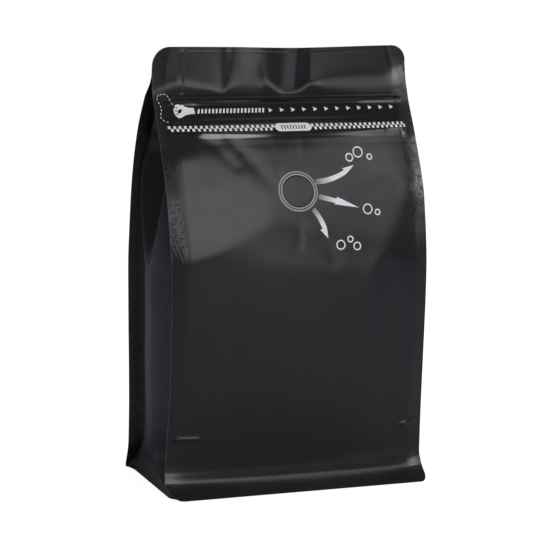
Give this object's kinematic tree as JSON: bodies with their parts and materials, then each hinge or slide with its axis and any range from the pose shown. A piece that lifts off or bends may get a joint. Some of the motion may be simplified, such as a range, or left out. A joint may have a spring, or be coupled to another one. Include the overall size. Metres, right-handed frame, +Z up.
{
  "type": "flat bottom coffee bag",
  "caption": "Filled, shut flat bottom pouch of matte black film with corner seal fins, side gussets, a pressed zipper band, a flat header and a round one-way valve.",
  "frame": {"origin": "on the floor under the middle of the bag's box", "axes": "+Z up, the front panel with the valve faces -Y, +X to the right seen from the front"},
  "size_m": [0.1298, 0.0902, 0.208],
  "materials": {
    "film": "matte black laminated film with a soft sheen and heat-pressed seals",
    "valve_plastic": "moulded grey-black plastic with a pale ring"
  },
  "bodies": {
    "root": {"bag": "film", "valve": "valve_plastic"}
  },
  "joints": []
}
